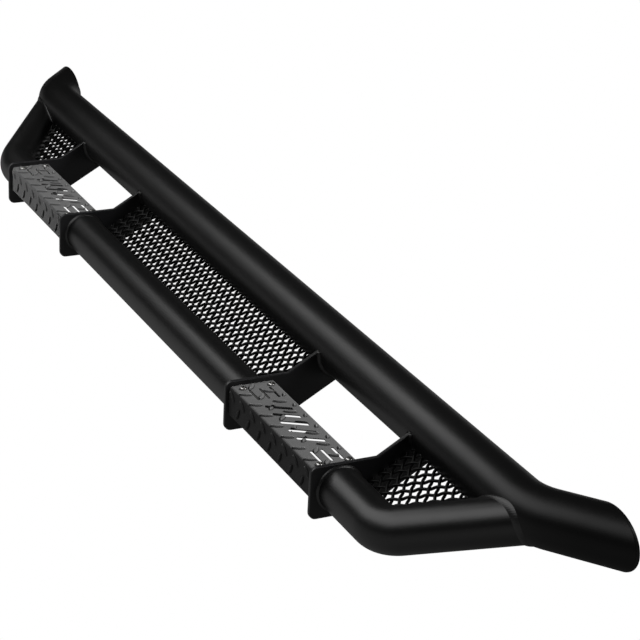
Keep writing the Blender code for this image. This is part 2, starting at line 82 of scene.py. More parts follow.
# Weld fillets: the length of their legs, how deep their root lies, and their ripples.
COPE_LEG = 0.0026
COLLAR_LEG = 0.0028
ARM_LEG = 0.0042
ROOT_DEPTH = 0.0005
COPE_ROOT_DEPTH = 0.0008
WELD_STEP = 0.0008
RIPPLE_PITCH = 0.0032
RIPPLE_RISE = 0.00035
WELD_FADE = 0.003


# Meshes


def new_object(name, points, faces, material, smooth=35.0):
    mesh = bpy.data.meshes.new(name)
    mesh.from_pydata(np.asarray(points, float).reshape(-1, 3).tolist(), [], faces)
    mesh.validate()
    if smooth:
        mesh.shade_smooth()
        mesh.set_sharp_from_angle(angle=math.radians(smooth))
    mesh.materials.append(material)
    obj = bpy.data.objects.new(name, mesh)
    bpy.context.scene.collection.objects.link(obj)
    return obj


def skin(rows, wrap_rows=False, wrap_columns=True, caps=True, base=0):
    """Faces over a grid of points. rows has the shape (rows, columns, 3)."""
    count, width = len(rows), len(rows[0])
    r = np.arange(count if wrap_rows else count - 1)
    c = np.arange(width if wrap_columns else width - 1)
    r, c = (grid.ravel() for grid in np.meshgrid(r, c, indexing="ij"))
    r2, c2 = (r + 1) % count, (c + 1) % width
    corners = [r * width + c, r * width + c2, r2 * width + c2, r2 * width + c]
    quads = np.stack(corners, 1) + base
    faces = quads.tolist()
    if caps and not wrap_rows:
        faces.append((base + np.arange(width)[::-1]).tolist())
        faces.append((base + (count - 1) * width + np.arange(width)).tolist())
    return faces


class Shape:
    """Points and faces of several closed shells that make one piece."""

    def __init__(self):
        self.points, self.faces, self.count = [], [], 0

    def add(self, rows, **how):
        rows = np.asarray(rows, float)
        self.faces += skin(rows, base=self.count, **how)
        self.points.append(rows.reshape(-1, 3))
        self.count += rows.shape[0] * rows.shape[1]

    def build(self, name, material, smooth=35.0):
        return new_object(name, np.concatenate(self.points), self.faces, material, smooth)


def ride(obj, slot, *nodes):
    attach(obj, "root")
    if nodes:
        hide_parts(*nodes)
    return obj


def turn_about(axis, angle):
    """The rotation matrix of a turn about a unit axis."""
    x, y, z = axis
    c, s = math.cos(angle), math.sin(angle)
    cross = np.array([[0, -z, y], [z, 0, -x], [-y, x, 0]])
    return np.eye(3) * c + s * cross + (1 - c) * np.outer(axis, axis)


def bend_frames(axis, bend, rings):
    """Ring centres and turns along a bend."""
    side = math.copysign(1.0, bend["start"])
    tilt = math.radians(bend["tilt"])
    inward = np.array([0, math.cos(tilt), math.sin(tilt)])
    along = np.array([side, 0, 0])
    hinge = np.cross(along, inward)
    start = np.array([bend["start"], *axis])
    found = []
    for angle in np.radians(bend["angle"]) * np.linspace(0, 1, rings + 1):
        sweep = along * math.sin(angle) + inward * (1 - math.cos(angle))
        found.append((start + sweep * bend["radius"], turn_about(hinge, angle)))
    return found


def ring(place, radius, count):
    """A circle of points round a tube's axis. place is a centre and a turn."""
    centre, turn = place
    angles = np.arange(count) * TAU / count
    local = np.stack([np.zeros(count), radius * np.cos(angles), radius * np.sin(angles)], 1)
    return centre + local @ turn.T


def heading_of(bend, place):
    """The direction in which a tube runs at a place along its bend."""
    return place[1] @ np.array([math.copysign(1.0, bend["start"]), 0, 0])


def slide(points, direction, on_plane, normal):
    """Points moved along direction onto a plane."""
    return points + direction * (((on_plane - points) @ normal) / (direction @ normal))[:, None]


def trim_plane(end, rings):
    """The plane that cuts an end of the main tube, and the tube's heading and last ring there."""
    bend = MAIN_BENDS[end]
    last = bend_frames(MAIN_AXIS, bend, rings)[-1]
    heading = heading_of(bend, last)
    reach, yaw, lean = MAIN_CUTS[end]
    travel = (MAIN_AXIS[0] + reach - last[0][1]) / heading[1]
    yaw, lean = math.radians(yaw), math.radians(lean)
    side = math.copysign(1.0, bend["start"])
    normal = np.array([side * math.sin(yaw), math.cos(yaw) * math.cos(lean), math.sin(lean)])
    return last[0] + heading * travel, normal / np.linalg.norm(normal), heading, last


def sweep(path, radius, sides):
    """Rows of points round a path."""
    heading = np.gradient(path, axis=0)
    heading /= np.linalg.norm(heading, axis=1)[:, None]
    across = np.cross(heading, (0, 0, 1.0))
    across /= np.linalg.norm(across, axis=1)[:, None]
    over = np.cross(across, heading)
    angles = np.arange(sides) * TAU / sides
    spread = across[:, None] * np.cos(angles)[None, :, None]
    spread = spread + over[:, None] * np.sin(angles)[None, :, None]
    return path[:, None] + spread * radius


def fillet(shape, root, toe_a, toe_b, closed=False, seed=0, crown=0.12):
    """A weld with fine ripples that fills a corner. Its section runs from toe_a over a slightly
    crowned face to toe_b and back to the root, each given as matching points along the seam."""
    lanes = [np.asarray(lane, float) for lane in (root, toe_a, toe_b)]
    if closed:
        lanes = [np.vstack([lane, lane[:1]]) for lane in lanes]
    run = np.r_[0, np.cumsum(np.linalg.norm(np.diff(lanes[0], axis=0), axis=1))]
    count = max(6, int(run[-1] / WELD_STEP))
    spots = np.linspace(0, run[-1], count, endpoint=not closed)
    root, toe_a, toe_b = (
        np.stack([np.interp(spots, run, lane[:, i]) for i in range(3)], 1) for lane in lanes
    )
    ripples = max(1, round(run[-1] / RIPPLE_PITCH))
    rng = np.random.default_rng(seed)
    wander = np.interp(spots, np.linspace(0, run[-1], 16), rng.normal(0, 0.05, 16))
    if closed:
        wander *= np.sin(math.pi * spots / run[-1]) ** 0.5
    shares = np.linspace(0, 1, 6)
    rows = []
    for share in shares:
        arch = 4 * share * (1 - share)
        phase = (spots / run[-1] * ripples + 0.35 * arch) % 1.0
        face = toe_a + (toe_b - toe_a) * share
        outward = face - root
        size = np.linalg.norm(outward, axis=1)[:, None]
        ripple = (RIPPLE_RISE * arch * np.sqrt(phase))[:, None]
        lift = (crown + wander)[:, None] * size * arch + ripple
        rows.append(face + outward / size * lift)
    if not closed:
        fade = np.clip(np.minimum(spots, run[-1] - spots) / WELD_FADE, 0, 1)
        fade = np.sqrt(0.02 + 0.98 * fade * (2 - fade))[:, None]
        rows = [root + (row - root) * fade for row in rows]
    shape.add(np.stack([*rows, root], 1), wrap_rows=closed)


# Materials

# Pointiness at which wear and a painted highlight on an edge, and painted shade in an inner
# corner, start and are full.
WEAR_AND_HIGHLIGHT_POINTS = (0.53, 0.60)
SHADE_POINTS = (0.46, 0.497)
# Distance from the board's middle at which the main tube's gloss starts and stops fading.
FADE_X = (0.62, 0.98)


def node(tree, kind, **inputs):
    made = tree.nodes.new("ShaderNode" + kind)
    for key, value in inputs.items():
        made.inputs[key.replace("_", " ")].default_value = value
    return made


def noise(tree, scale, detail=3.0, rough=0.5, distortion=0.0):
    made = node(tree, "TexNoise", Scale=scale, Detail=detail, Roughness=rough, Distortion=distortion)
    tree.links.new(tree.nodes["Coordinates"].outputs["Object"], made.inputs["Vector"])
    return made.outputs["Fac"]


def ramp(tree, source, low, high, start=0.3, end=0.7):
    """Maps a value from start..end to low..high."""
    made = tree.nodes.new("ShaderNodeMapRange")
    for key, value in zip(("From Min", "From Max", "To Min", "To Max"), (start, end, low, high)):
        made.inputs[key].default_value = value
    tree.links.new(source, made.inputs["Value"])
    return made.outputs["Result"]


def maths(tree, operation, a, b):
    made = tree.nodes.new("ShaderNodeMath")
    made.operation = operation
    for socket, value in zip(made.inputs, (a, b)):
        if isinstance(value, (int, float)):
            socket.default_value = value
        else:
            tree.links.new(value, socket)
    return made.outputs[0]


def blend(tree, amount, a, b):
    """Mixes two colours, each a tuple or a socket."""
    made = tree.nodes.new("ShaderNodeMix")
    made.data_type = "RGBA"
    tree.links.new(amount, made.inputs[0])
    for socket, value in ((made.inputs[6], a), (made.inputs[7], b)):
        if isinstance(value, tuple):
            socket.default_value = (*value, 1.0)
        else:
            tree.links.new(value, socket)
    return made.outputs[2]


def bump(tree, height, strength, distance, after=None):
    made = node(tree, "Bump", Strength=strength, Distance=distance)
    tree.links.new(height, made.inputs["Height"])
    if after:
        tree.links.new(after, made.inputs["Normal"])
    return made.outputs["Normal"]


def grey(level):
    return (level, level, level)


def coated(
    name, colour, dusty, rough, peel, grain=0.0, gloss=0.5, wear_and_highlight=None, painted_shade=None, ends=None
):
    """A powder coat: soft tone changes, orange peel and fine grain. worn lightens its edges, partly
    as wear and partly as a painted highlight, crevice paints shade into its inner corners, and ends
    is the gloss that it falls to at the ends of the board."""
    material = bpy.data.materials.new(name)
    material.use_nodes = True
    tree = material.node_tree
    shader = tree.nodes["Principled BSDF"]
    coordinates = tree.nodes.new("ShaderNodeTexCoord")
    coordinates.name = "Coordinates"
    geometry = tree.nodes.new("ShaderNodeNewGeometry")

    tone = ramp(tree, noise(tree, 6.0, 3.0, 0.5), 0.0, 1.0, 0.35, 0.65)
    base = blend(tree, tone, tuple(0.88 * c for c in colour), colour)
    fleck = ramp(tree, noise(tree, 1500.0, 2.0, 0.6), 0.0, 0.45, 0.52, 0.72)
    base = blend(tree, fleck, base, dusty)
    # Edges, where pointiness is high, are lightened in patches: partly wear, partly a painted
    # highlight.
    if wear_and_highlight:
        edge = ramp(tree, geometry.outputs["Pointiness"], 0.0, 1.0, *WEAR_AND_HIGHLIGHT_POINTS)
        patchy = ramp(tree, noise(tree, 140.0, 4.0, 0.7), 0.3, 0.9, 0.40, 0.62)
        base = blend(tree, maths(tree, "MULTIPLY", edge, patchy), base, wear_and_highlight)
    # Painted shade: inner corners, where pointiness is low, are darkened.
    if painted_shade:
        shade_mask = ramp(tree, geometry.outputs["Pointiness"], 1.0, 0.0, *SHADE_POINTS)
        base = blend(tree, shade_mask, base, painted_shade)
    tree.links.new(base, shader.inputs["Base Color"])

    finish = ramp(tree, noise(tree, 30.0, 4.0, 0.5), rough - 0.015, rough + 0.015)
    tree.links.new(finish, shader.inputs["Roughness"])
    shader.inputs["Specular IOR Level"].default_value = gloss
    if ends:
        place = tree.nodes.new("ShaderNodeSeparateXYZ")
        tree.links.new(geometry.outputs["Position"], place.inputs[0])
        along = maths(tree, "ABSOLUTE", place.outputs["X"], 0.0)
        fading = ramp(tree, along, gloss, ends, *FADE_X)
        tree.links.new(fading, shader.inputs["Specular IOR Level"])

    normal = bump(tree, noise(tree, 620.0, 2.0, 0.5), peel, 0.0004)
    normal = bump(tree, noise(tree, 2600.0, 3.0, 0.7), grain, 0.0003, normal)
    tree.links.new(normal, shader.inputs["Normal"])
    return material


def zinc(name):
    """Plated steel with turning marks and slight staining."""
    material = bpy.data.materials.new(name)
    material.use_nodes = True
    tree = material.node_tree
    shader = tree.nodes["Principled BSDF"]
    tree.nodes.new("ShaderNodeTexCoord").name = "Coordinates"
    stain = ramp(tree, noise(tree, 320.0, 5.0, 0.6), 0.0, 1.0)
    base = blend(tree, stain, (0.42, 0.41, 0.39), (0.72, 0.72, 0.71))
    tree.links.new(base, shader.inputs["Base Color"])
    finish = ramp(tree, noise(tree, 900.0, 4.0, 0.7), 0.22, 0.42)
    tree.links.new(finish, shader.inputs["Roughness"])
    shader.inputs["Metallic"].default_value = 1.0
    normal = bump(tree, noise(tree, 2400.0, 2.0, 0.5), 0.2, 0.0001)
    tree.links.new(normal, shader.inputs["Normal"])
    return material


TUBE = coated("tube_coat", grey(0.0006), grey(0.0014), 0.37, 0.06)
MAIN = coated("main_coat", grey(0.0006), grey(0.0014), 0.40, 0.06, ends=0.16)
WELD = coated("weld_coat", grey(0.0008), grey(0.0018), 0.38, 0.04)
PLATE = coated(
    "plate_coat", (0.0014, 0.0014, 0.0016), (0.0030, 0.0030, 0.0032), 0.44, 0.06,
    # The lighter edge colour is partly wear and partly a painted highlight.
    wear_and_highlight=(0.03, 0.03, 0.031),
)
# The tread's lighter edge colour is partly wear and partly a painted highlight on the lug crests.
TREAD = coated(
    "tread_coat", grey(0.024), grey(0.044), 0.48, 0.15, 0.5, gloss=0.03,
    # The near-black corner colour is painted shade round the bases of the lugs.
    wear_and_highlight=grey(0.13), painted_shade=grey(0.002),
)
WIRE = coated("wire_coat", grey(0.0012), grey(0.0026), 0.46, 0.04, gloss=0.15)
# Its lighter edge colour is partly wear and partly a painted highlight.
BRACKET = coated("bracket_coat", grey(0.004), grey(0.008), 0.5, 0.08, wear_and_highlight=grey(0.016))
ZINC = zinc("fastener_steel")


# Tubes

MAIN_SIDES = 128
OUTER_SIDES = 112
RINGS = 36
SEAM_POINTS = 400
# The cap's section: its share of the tube's radius, and its distance beyond the cut.
CAP_SECTION = (
    (0.3, 0.0001), (0.99, 0.0001), (1.0, 0.0004), (1.0, 0.0026), (0.992, 0.0031),
    (0.97, 0.0033), (0.3, 0.0033),
)


def main_rows(radius):
    """Rings of points along the main tube, from its far cut to its near cut."""
    found = {}
    for end, bend in MAIN_BENDS.items():
        on_plane, normal, heading, _ = trim_plane(end, RINGS)
        rows = [ring(place, radius, MAIN_SIDES) for place in bend_frames(MAIN_AXIS, bend, RINGS)]
        found[end] = rows + [slide(rows[-1], heading, on_plane, normal)]
    middle = []
    for x in np.linspace(-0.85, 0.8, 12):
        middle.append(np.stack([np.full(MAIN_SIDES, x), *found["near"][0].T[1:]], 1))
    return np.array(found["far"][::-1] + middle + found["near"])


def make_main_tube():
    shape = Shape()
    outside, inside = main_rows(MAIN_RADIUS), main_rows(MAIN_RADIUS - MAIN_WALL)
    shape.add(np.concatenate([outside, inside[::-1]]), wrap_rows=True)
    ride(shape.build("main_tube_coated", MAIN, 40), "tube_coat", "main_tube")


def make_end_caps():
    """A flat cap on each end of the main tube, its seam ground flush."""
    for end in MAIN_BENDS:
        on_plane, normal, heading, last = trim_plane(end, RINGS)
        rows = []
        for share, beyond in CAP_SECTION:
            points = ring(last, MAIN_RADIUS * share, MAIN_SIDES)
            rows.append(slide(points, heading, on_plane + normal * beyond, normal))
        shape = Shape()
        shape.add(rows)
        ride(shape.build(end + "_cap", MAIN, 30), "plate_coat", end + "_end_cap")


def distance_to_main(points):
    """How far points lie outside the main tube's surface."""
    parts = []
    for bend in MAIN_BENDS.values():
        frames = bend_frames(MAIN_AXIS, bend, 60)
        line = [place[0] for place in frames]
        line.append(line[-1] + heading_of(bend, frames[-1]) * 0.2)
        parts.append(line)
    line = np.array(parts[1][::-1] + parts[0])
    start, run = line[:-1], np.diff(line, axis=0)
    offset = points[:, None] - start[None]
    share = np.clip((offset * run).sum(2) / (run**2).sum(1), 0, 1)
    return np.linalg.norm(offset - share[..., None] * run, axis=2).min(1) - MAIN_RADIUS


def march(points, direction, depth):
    """Points moved along direction until they lie depth inside the main tube's surface."""
    points = points.copy()
    for _ in range(80):
        points += direction * np.maximum(distance_to_main(points) + depth, 0)[:, None] * 0.9
    return points


def make_outer_ends():
    """The two end lengths of the outer tube, coped to the main tube, and their welds."""
    for end, bend in OUTER_BENDS.items():
        side = math.copysign(1.0, bend["start"])
        start = side * (PLATE_X["near_outer"] + PLATE_THICKNESS / 2)
        frames = bend_frames(OUTER_AXIS, bend, RINGS)
        heading = heading_of(bend, frames[-1])
        frames.insert(0, (np.array([start, *OUTER_AXIS]), frames[0][1]))
        shells = []
        for radius in (OUTER_RADIUS, OUTER_RADIUS - OUTER_WALL):
            rows = [ring(place, radius, OUTER_SIDES) for place in frames]
            tip = march(ring(frames[-1], radius, OUTER_SIDES), heading, 0.0012)
            rows += [rows[-1] + (tip - rows[-1]) * share for share in (0.35, 0.7, 1.0)]
            shells.append(np.array(rows))
        shape = Shape()
        shape.add(np.concatenate([shells[0], shells[1][::-1]]), wrap_rows=True)
        ride(shape.build(f"outer_tube_{end}_coated", TUBE, 40), "tube_coat", "outer_tube_" + end)
        depth = COPE_ROOT_DEPTH
        root = march(ring(frames[-1], OUTER_RADIUS - depth, SEAM_POINTS), heading, depth)
        toe_a = march(ring(frames[-1], OUTER_RADIUS, SEAM_POINTS), heading, -COPE_LEG)
        toe_b = march(ring(frames[-1], OUTER_RADIUS + COPE_LEG, SEAM_POINTS), heading, 0.0)
        weld = Shape()
        fillet(weld, root, toe_a, toe_b, closed=True, seed=5)
        ride(weld.build(f"cope_weld_{end}", WELD, 60), "tube_coat")


def make_outer_centre():
    reach = PLATE_X["near_inner"] - PLATE_THICKNESS / 2
    places = [(np.array([x, *OUTER_AXIS]), np.eye(3)) for x in np.linspace(-reach, reach, 9)]
    outside = [ring(place, OUTER_RADIUS, OUTER_SIDES) for place in places]
    inside = [ring(place, OUTER_RADIUS - OUTER_WALL, OUTER_SIDES) for place in places]
    shape = Shape()
    shape.add(np.array(outside + inside[::-1]), wrap_rows=True)
    ride(shape.build("outer_tube_centre_coated", TUBE, 40), "tube_coat", "outer_tube_centre")


def tube_circle(x, radius, count=240):
    return ring((np.array([x, *OUTER_AXIS]), np.eye(3)), radius, count)


def collar_welds():
    """Fillets where the outer tube meets a side plate."""
    half = PLATE_THICKNESS / 2
    faces = {"far_outer": -1, "far_inner": 1, "near_inner": -1, "near_outer": 1}
    for name, way in faces.items():
        face = PLATE_X[name] + way * half
        root = tube_circle(face - way * ROOT_DEPTH, OUTER_RADIUS - ROOT_DEPTH)
        toe_a = tube_circle(face + way * COLLAR_LEG, OUTER_RADIUS)
        toe_b = tube_circle(face, OUTER_RADIUS + COLLAR_LEG)
        weld = Shape()
        fillet(weld, root, toe_a, toe_b, closed=True, seed=len(name), crown=0.02)
        ride(weld.build("collar_weld_" + name, WELD, 60), "plate_coat")


def main_arc(x, radius, low, high, count=60):
    angles = np.linspace(low, high, count)
    y, z = MAIN_AXIS[0] + radius * np.cos(angles), MAIN_AXIS[1] + radius * np.sin(angles)
    return np.stack([np.full(count, x), y, z], 1)


def main_fillet(weld, face, way, low, high, seed):
    """A weld round part of the main tube, where the face of a plate meets it."""
    root = main_arc(face - way * ROOT_DEPTH, MAIN_RADIUS - ROOT_DEPTH, low, high)
    toe_a = main_arc(face, MAIN_RADIUS + ARM_LEG, low, high)
    toe_b = main_arc(face + way * ARM_LEG, MAIN_RADIUS, low, high)
    fillet(weld, root, toe_a, toe_b, seed=seed)


def arm_angles(name):
    """Angles round the main tube between which a side plate touches it."""
    points = np.array([v.co for v in NODES["side_plate_" + name].data.vertices])
    offset = points[:, 1:] - np.array(MAIN_AXIS)
    near = np.abs(np.hypot(*offset.T) - MAIN_RADIUS) < 0.001
    angles = np.degrees(np.arctan2(offset[near, 1], offset[near, 0])) % 360
    return math.radians(angles.min()), math.radians(angles.max())


def arm_welds():
    """Fillets on both faces of each arm where it meets the main tube."""
    half = PLATE_THICKNESS / 2
    for name, x in PLATE_X.items():
        low, high = arm_angles(name)
        weld = Shape()
        for way in (-1, 1):
            main_fillet(weld, x + way * half, way, low, high, int(abs(x) * 1000) + way)
        ride(weld.build("arm_weld_" + name, WELD, 60), "plate_coat")


# CAD nodes that keep their shape


def eased(name, material, width, segments=3):
    """Gives a CAD node joined points, rounded edges and a coat."""
    obj = NODES[name]
    weld = obj.modifiers.new("weld", "WELD")
    weld.merge_threshold = 0.00001
    flat = obj.modifiers.new("flat", "DECIMATE")
    flat.decimate_type = "DISSOLVE"
    flat.angle_limit = math.radians(1.0)
    edges = obj.modifiers.new("edges", "BEVEL")
    edges.width = width
    edges.segments = segments
    edges.limit_method = "ANGLE"
    edges.angle_limit = math.radians(32)
    edges.harden_normals = True
    obj.data.materials.clear()
    obj.data.materials.append(material)
    obj.data.shade_smooth()


def ease_cad_nodes():
    for name in NODES:
        if name.startswith("side_plate"):
            eased(name, PLATE, 0.0009)
        elif name.startswith("mount_"):
            eased(name, BRACKET, 0.0006, 2)
        elif name.startswith("step_tab"):
            eased(name, ZINC, 0.0006, 2)


# Steps

LUG_HALF_LENGTH = 0.0105
LUG_HALF_WIDTH = 0.0033
LUG_HEIGHT = 0.0023
LUG_PITCH = (0.0353, 0.0360)
# Each family of lugs: where its first one sits (along the board, up the sheet) and its angle.
LUG_FAMILIES = ((0.0010, 0.0140, 63.0), (0.0150, 0.0320, -40.0))
LUG_SLOPE = 2.6
# The lugs stop short of screws, of the sheet's edges and of its back bend.
SCREW_SEAT = 0.0068
LUG_BORDER = 0.0012
LUG_LAST_Y = 0.0265
PAD_HALF = 0.1370
PAD_STEP = 0.0008
PAD_BEND = 0.0045
PAD_FRONT = -0.0370
PAD_BACK = 0.0320
PAD_BOTTOM = -0.0127
PAD_LIP = PAD_TOP - 0.010


SLOT_X = 0.101
SLOT_ROW = 0.0155
SLOT_SIZE = (0.036, 0.0042)
VENT_PITCH = 0.026
VENT_HALF_WIDTH = 0.0045
VENT_REACH = 0.017
VENT_SLANT = 0.010
SCREW_HOLE = (0.00661, 0.0066)


def pad_profile():
    """Positions along the outer face of a step's section: (y, z, outward y, outward z, run)."""
    height = PAD_TOP - PAD_BEND
    parts = []

    def straight(a, b, normal):
        count = max(2, int(math.dist(a, b) / PAD_STEP))
        for t in np.linspace(0, 1, count, endpoint=False):
            parts.append((a[0] + (b[0] - a[0]) * t, a[1] + (b[1] - a[1]) * t, *normal))

    def corner(centre, start, end):
        for t in np.radians(np.linspace(start, end, 9, endpoint=False)):
            c, s = math.cos(t), math.sin(t)
            parts.append((centre[0] + PAD_BEND * c, centre[1] + PAD_BEND * s, c, s))

    straight((PAD_FRONT, PAD_BOTTOM), (PAD_FRONT, height), (-1, 0))
    corner((PAD_FRONT + PAD_BEND, height), 180, 90)
    straight((PAD_FRONT + PAD_BEND, PAD_TOP), (PAD_BACK - PAD_BEND, PAD_TOP), (0, 1))
    corner((PAD_BACK - PAD_BEND, height), 90, 0)
    straight((PAD_BACK, height), (PAD_BACK, PAD_LIP), (1, 0))
    parts.append((PAD_BACK, PAD_LIP, 1, 0))
    profile = np.array(parts)
    run = np.r_[0, np.cumsum(np.hypot(*np.diff(profile[:, :2], axis=0).T))]
    return np.column_stack([profile, run])


def lug_height(x, run):
    """Height of the raised tread lugs over the sheet, on a grid of positions."""
    height = np.zeros_like(x)
    for first_x, first_run, angle in LUG_FAMILIES:
        c, sn = math.cos(math.radians(angle)), math.sin(math.radians(angle))
        for i in range(-5, 5):
            for j in range(4):
                dx = x - first_x - i * LUG_PITCH[0]
                dv = run - first_run - j * LUG_PITCH[1]
                t = (dx * c + dv * sn) / LUG_HALF_LENGTH
                w = (dv * c - dx * sn) / LUG_HALF_WIDTH
                rise = np.clip((1 - np.abs(w) - t * t) * LUG_SLOPE, 0, 1)
                height = np.maximum(height, rise * rise * (3 - 2 * rise))
    return height * LUG_HEIGHT


def pad_shell():
    """Outer face with its lugs, and a plain inner face, as one closed sheet."""
    profile = pad_profile()
    xs = np.linspace(-PAD_HALF, PAD_HALF, int(2 * PAD_HALF / PAD_STEP))
    run = profile[:, 4]
    grid_x, grid_run = np.meshgrid(xs, run, indexing="ij")
    height = lug_height(grid_x, grid_run)
    on_top = np.abs(profile[None, :, 1] - PAD_TOP) < 0.001
    for x, y in SCREW_SPOTS:
        away = np.hypot(grid_x - x, profile[None, :, 0] - y)
        seat = np.clip((away - SCREW_SEAT) / 0.0015, 0, 1)
        height = np.where(on_top, height * seat, height)
    border = np.minimum(PAD_HALF - np.abs(grid_x), np.minimum(grid_run, run[-1] - grid_run))
    height *= np.clip(border / LUG_BORDER, 0, 1)
    height *= np.clip((LUG_LAST_Y - profile[None, :, 0]) / 0.003, 0, 1)
    y = OUTER_AXIS[0] + profile[:, 0] + height * profile[:, 2]
    z = OUTER_AXIS[1] + profile[:, 1] + height * profile[:, 3]
    outer = np.stack([grid_x, y, z], 2)
    inner_y = OUTER_AXIS[0] + profile[:, 0] - PAD_SHEET * profile[:, 2]
    inner_z = OUTER_AXIS[1] + profile[:, 1] - PAD_SHEET * profile[:, 3]
    return outer, np.stack([inner_y, inner_z], 1)


def pad_mesh(name):
    """The lugged outer face, the inner face and the rims between them, as one closed mesh."""
    outer, sheet = pad_shell()
    rows, columns = outer.shape[:2]
    faces = skin(outer, wrap_columns=False, caps=False)
    points = outer.reshape(-1, 3)
    base = len(points)
    low = np.column_stack([np.full(columns, -PAD_HALF), sheet])
    high = np.column_stack([np.full(columns, PAD_HALF), sheet])
    points = np.vstack([points, low, high])
    last = (rows - 1) * columns
    for c in range(columns - 1):
        faces.append((base + c + 1, base + c, base + columns + c, base + columns + c + 1))
        faces.append((c + 1, c, base + c, base + c + 1)[::-1])
        faces.append((last + c, last + c + 1, base + columns + c + 1, base + columns + c)[::-1])
    front = [r * columns for r in range(rows)]
    faces.append([*front, base + columns, base][::-1])
    back = [r * columns + columns - 1 for r in range(rows)]
    faces.append([*back[::-1], base + columns - 1, base + 2 * columns - 1][::-1])
    obj = new_object(name, points, faces, TREAD, 0)
    turn_outward(obj)
    return obj


def turn_outward(obj):
    """Makes the faces of a closed mesh face outward."""
    shape = bmesh.new()
    shape.from_mesh(obj.data)
    bmesh.ops.recalc_face_normals(shape, faces=shape.faces)
    shape.to_mesh(obj.data)
    shape.free()


def rounded_slot(x, y, length, width, steps=10):
    reach, half = (length - width) / 2, width / 2
    outline = []
    for side, start in ((-1, 90), (1, -90)):
        for a in np.radians(np.linspace(start, start + 180, steps)):
            outline.append((x + side * reach + half * math.cos(a), y + half * math.sin(a)))
    return outline


def vent(x, y):
    """A slanted vent with two opposite corners cut off."""
    half, reach, slant = VENT_HALF_WIDTH, VENT_REACH, VENT_SLANT
    nib = half * 0.6
    side = [(-half, -reach + nib), (-half + nib, -reach), (half, -reach)]
    side += [(half, reach - nib), (half - nib, reach), (-half, reach)]
    return [(x + a + slant * b / reach, y + b) for a, b in side]


def step_openings():
    """Outlines of the slots, vents and screw holes in a step's top."""
    y = OUTER_AXIS[0]
    outlines = []
    for end in (-1, 1):
        for row in (-SLOT_ROW, 0, SLOT_ROW):
            outlines.append(rounded_slot(end * SLOT_X, y + row, *SLOT_SIZE))
    outlines += [vent(VENT_PITCH * (i - 2), y) for i in range(5)]
    for sx, sy in SCREW_SPOTS:
        outlines.append(rounded_slot(sx, y + sy, *SCREW_HOLE, 12))
    return outlines


def make_steps():
    """Both steps, with their openings cut through."""
    height = OUTER_AXIS[1] + PAD_TOP
    for end, side in (("far", -1), ("near", 1)):
        step = pad_mesh(f"step_{end}_tread")
        cutter = Shape()
        for outline in step_openings():
            rows = [[(x, y, z) for x, y in outline] for z in (height - 0.006, height + 0.006)]
            cutter.add(rows)
        cutter = cutter.build("cutter_" + end, TREAD, 0)
        turn_outward(cutter)
        cut = step.modifiers.new("openings", "BOOLEAN")
        cut.operation, cut.solver, cut.object = "DIFFERENCE", "EXACT", cutter
        bpy.context.view_layer.update()
        graph = bpy.context.evaluated_depsgraph_get()
        done = bpy.data.meshes.new_from_object(step.evaluated_get(graph))
        step.modifiers.clear()
        step.data = done
        bpy.data.objects.remove(cutter)
        done.shade_smooth()
        done.set_sharp_from_angle(angle=math.radians(50))
        step.location.x = side * PAD_CENTRE
        ride(step, "tread_coat", "step_" + end)


# Fasteners

SCREW_SIDES = 36
SHANK_RADIUS = 0.0030
HEAD_RADIUS = 0.0052
# The socket's rim and floor: radius, and height over the step.
SOCKET = ((0.0024, 0.0030), (0.0023, 0.0012))
NUT_SIDES = 48
# Radius over the corners, and radius of the bore.
STEP_NUT = (0.0058, 0.0031)
WELD_NUT = (0.0092, 0.0052)


def circle_row(radius, z, count, centre):
    angles = np.arange(count) * TAU / count
    x, y = centre[0] + radius * np.cos(angles), centre[1] + radius * np.sin(angles)
    return np.stack([x, y, np.full(count, z)], 1)


def hexagon_row(radius, z, count, centre):
    """Points round a hexagon at equal angles."""
    angles = np.arange(count) * TAU / count
    size = radius * math.cos(math.pi / 6) / np.cos((angles % (TAU / 6)) - TAU / 12)
    return circle_row(size, z, count, centre)


def make_screws():
    """Button head screws with a hexagon socket, and the nuts under them."""
    for end, side in (("far", -1), ("near", 1)):
        for number, (sx, sy) in enumerate(SCREW_SPOTS, 1):
            centre = (side * PAD_CENTRE + sx, OUTER_AXIS[0] + sy)
            z = OUTER_AXIS[1] + PAD_TOP + 0.00005
            outline = [(0.0026, -0.0160), (SHANK_RADIUS, -0.0155), (SHANK_RADIUS, 0), (0.0050, 0)]
            for t in np.linspace(0, 1, 7):
                rise = 0.0006 + 0.0024 * math.sin(t * math.pi / 2)
                outline.append((HEAD_RADIUS - 0.0020 * t**2, rise))
            rows = [circle_row(radius, z + rise, SCREW_SIDES, centre) for radius, rise in outline]
            for radius, rise in SOCKET:
                rows.append(hexagon_row(radius, z + rise, SCREW_SIDES, centre))
            shape = Shape()
            shape.add(rows)
            cad = f"step_screw_{end}_{number}"
            ride(shape.build(f"screw_{end}_{number}", ZINC, 40), "fastener_steel", cad)
            make_nut(f"nut_{end}_{number}", f"step_nut_{end}_{number}", *STEP_NUT)


def make_nut(name, cad, radius, bore):
    """Chamfered hexagon nut in the space of its CAD node."""
    low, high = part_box(cad)
    centre = ((low[0] + high[0]) / 2, (low[1] + high[1]) / 2)
    base, top = low[2], high[2]
    face = radius * math.cos(math.pi / 6) * 0.97
    rows = [circle_row(r, base, NUT_SIDES, centre) for r in (bore, face)]
    for z, way in ((base, 1), (top, -1)):
        hexagon = hexagon_row(radius, z, NUT_SIDES, centre)
        away = np.hypot(hexagon[:, 0] - centre[0], hexagon[:, 1] - centre[1]) - face
        hexagon[:, 2] = z + way * (0.0002 + away * 0.55)
        rows.append(hexagon)
    rows += [circle_row(r, top, NUT_SIDES, centre) for r in (face, bore)]
    shape = Shape()
    shape.add(rows, wrap_rows=True)
    ride(shape.build(name, ZINC, 30), "fastener_steel", cad)


